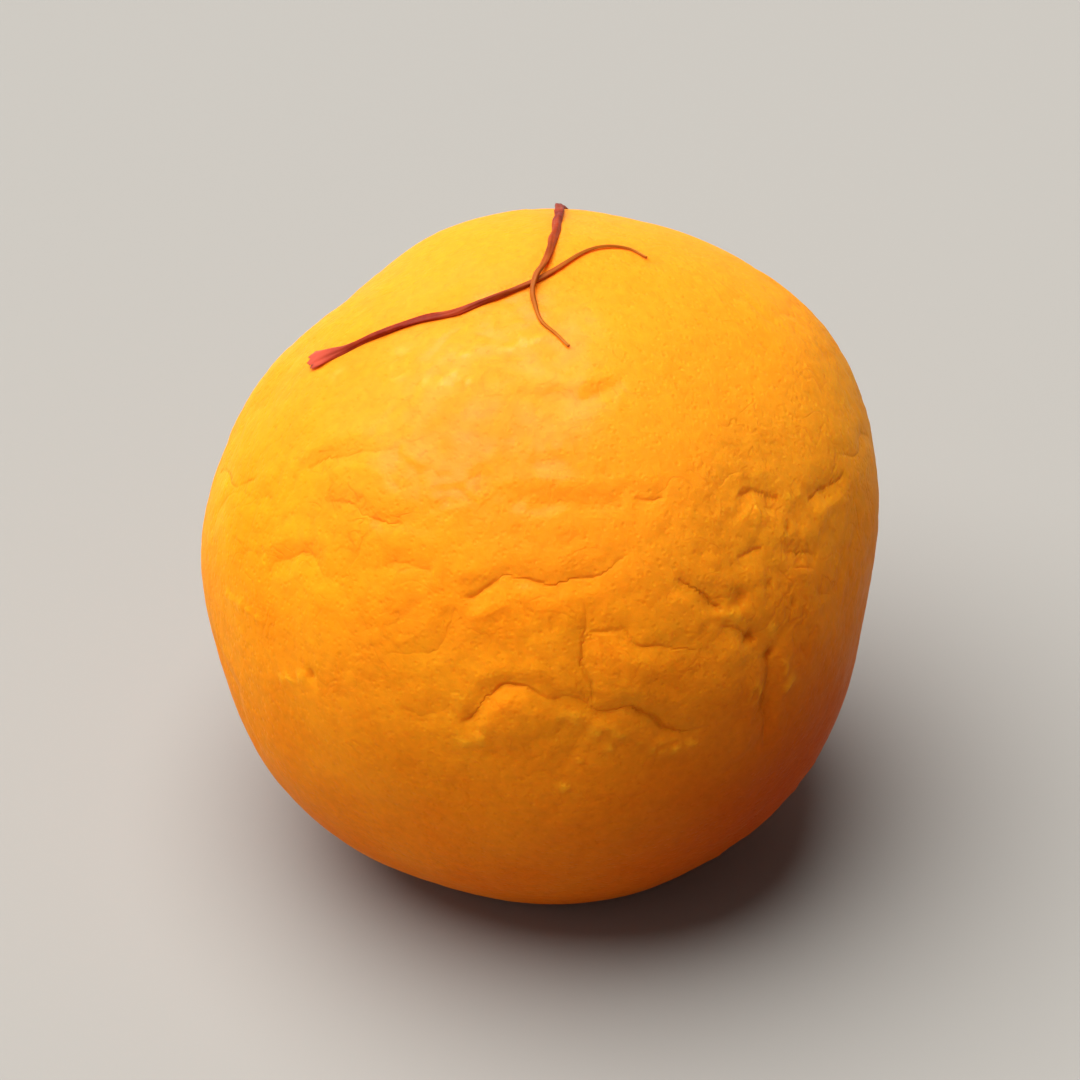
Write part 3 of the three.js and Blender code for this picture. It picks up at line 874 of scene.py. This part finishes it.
sprig = new_piece("saffron_sprig", (np.vstack(sprig_points) + ball_place) * MILLIMETRE, sprig_faces)
keep_values(sprig, "tip", np.concatenate(sprig_tip))
keep_values(sprig, "stem", np.concatenate(sprig_stem))

# The tip's brighter pink red is partly its own colour and partly a painted highlight on the wet tip
SAFFRON_TIP_AND_GLINT = (0.54, 0.075, 0.04, 1)
SAFFRON_BODY = (0.2, 0.012, 0.003, 1)
SAFFRON_STREAK = (0.38, 0.045, 0.008, 1)
SAFFRON_STEM = (0.43, 0.13, 0.01, 1)
STREAK_TINTS = (0.4, 0.75, 0, 0.4)
PATCH_TINTS = (0.48, 0.62, 0, 0.7)
STREAK_ROUGHNESS = (0.3, 0.7, 0.35, 0.55)
STREAK_HEIGHT = 0.1


def saffron_material():
    """Wet crimson fibre: brighter pink red at the tip, partly its own colour and partly a painted
    highlight, orange-brown towards the stem, streaked and glossy.
    """
    n = Nodes("wet_saffron")
    place = n.make("ShaderNodeTexCoord").outputs["Object"]
    streak = n.noise(Vector=place, Scale=1900, Detail=3)
    patch = n.noise(Vector=place, Scale=420, Detail=1)
    colour = n.mix(n.spread(streak, *STREAK_TINTS), SAFFRON_BODY, SAFFRON_STREAK)
    colour = n.mix(n.spread(patch, *PATCH_TINTS), colour, SAFFRON_STREAK)
    colour = n.mix(n.value("stem"), colour, SAFFRON_STEM)
    # brighter tip: its own colour and a painted highlight
    colour = n.mix(n.value("tip"), colour, SAFFRON_TIP_AND_GLINT)
    distance = STREAK_HEIGHT * MILLIMETRE
    bump = n.make("ShaderNodeBump", None, Strength=0.5, Distance=distance, Height=streak).outputs[0]
    shader = n.make(
        "ShaderNodeBsdfPrincipled", None,
        Base_Color=colour, Roughness=n.spread(streak, *STREAK_ROUGHNESS), Normal=bump,
        IOR=1.4, Specular_IOR_Level=0.12,
        Subsurface_Weight=0.2, Subsurface_Radius=(1.0, 0.2, 0.1), Subsurface_Scale=0.0004,
        Coat_Weight=0.06, Coat_Roughness=0.2, Coat_IOR=1.35,
    )
    return n.finish(shader.outputs[0])


sprig.data.materials.append(saffron_material())
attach(sprig, "root")
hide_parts("rasgulla")

# Studio: a plain pale floor, swept up far from the object, under one large soft light, overhead and to the
# left, with weak ones from the left front and the left back and a faint even light from all round. Its
# sizes are in metres, and each light shines from a direction.
FLOOR_COLOUR = (0.295, 0.28, 0.255, 1)
FLOOR_FLAT = 1.5
FLOOR_EDGE = 3.0
FLOOR_RISE = 0.6
FLOOR_RINGS = 24
FLOOR_SIDES = 96
LIGHT_ANGLE = 66
KEY_FROM = (-0.3, 0.11, 0.94)
KEY_STRENGTH = 5.8
FILL_FROM = (-0.88, -0.4, 0.24)
FILL_STRENGTH = 0.55
BACK_FROM = (-0.5, 0.82, 0.28)
BACK_STRENGTH = 0.8
AROUND_COLOUR = (1, 0.98, 0.95, 1)
AROUND_STRENGTH = 0.075


def floor_surface():
    """A disc of rings: flat out to FLOOR_FLAT, then rising with the square of the way to its edge."""
    out = np.linspace(FLOOR_FLAT, FLOOR_EDGE, FLOOR_RINGS)[:, None]
    turn = np.linspace(0, 2 * math.pi, FLOOR_SIDES, endpoint=False)
    rise = FLOOR_RISE * ((out - FLOOR_FLAT) / (FLOOR_EDGE - FLOOR_FLAT)) ** 2
    rings = np.stack(np.broadcast_arrays(out * np.cos(turn), out * np.sin(turn), rise), axis=-1)
    index = np.arange(FLOOR_RINGS * FLOOR_SIDES).reshape(FLOOR_RINGS, FLOOR_SIDES)
    after = np.roll(index, -1, axis=1)
    faces = np.stack([index[:-1], index[1:], after[1:], after[:-1]], axis=-1).reshape(-1, 4)
    return rings.reshape(-1, 3), faces.tolist() + [index[0].tolist()]


def floor_material():
    """Plain pale matt card."""
    n = Nodes("pale_floor")
    shader = n.make("ShaderNodeBsdfPrincipled", None, Base_Color=FLOOR_COLOUR, Roughness=0.7)
    return n.finish(shader.outputs[0])


def soft_light(name, source, strength):
    """A wide far light that shines from the direction of its source."""
    light = bpy.data.objects.new(name, bpy.data.lights.new(name, "SUN"))
    light.data.energy = strength
    light.data.angle = math.radians(LIGHT_ANGLE)
    light.rotation_euler = Vector(source).to_track_quat("Z", "Y").to_euler()
    bpy.context.scene.collection.objects.link(light)


floor = new_piece("floor", *floor_surface())
floor.data.materials.append(floor_material())

soft_light("key_light", KEY_FROM, KEY_STRENGTH)
soft_light("fill_light", FILL_FROM, FILL_STRENGTH)
soft_light("back_light", BACK_FROM, BACK_STRENGTH)

world = bpy.data.worlds.new("studio")
world.use_nodes = True
world.node_tree.nodes["Background"].inputs["Color"].default_value = AROUND_COLOUR
world.node_tree.nodes["Background"].inputs["Strength"].default_value = AROUND_STRENGTH
bpy.context.scene.world = world
bpy.context.scene.view_settings.view_transform = "Standard"

# Camera: looks down on the front at the photograph's angle, with a long lens
CAMERA_UP = 39
CAMERA_DISTANCE = 1.0
CAMERA_FAR = 100
CAMERA_SENSOR = 36
BALL_SHARE = 0.62

camera = bpy.data.objects.new("camera", bpy.data.cameras.new("camera"))
camera.data.sensor_width = CAMERA_SENSOR
camera.data.lens = CAMERA_SENSOR * CAMERA_DISTANCE * BALL_SHARE / (2 * BALL_RADIUS * MILLIMETRE)
camera.data.clip_end = CAMERA_FAR
back = Vector(heading(0, CAMERA_UP))
camera.location = (Vector(box_low) + Vector(box_high)) / 2 + CAMERA_DISTANCE * back
camera.rotation_euler = back.to_track_quat("Z", "Y").to_euler()
bpy.context.scene.collection.objects.link(camera)
bpy.context.scene.camera = camera
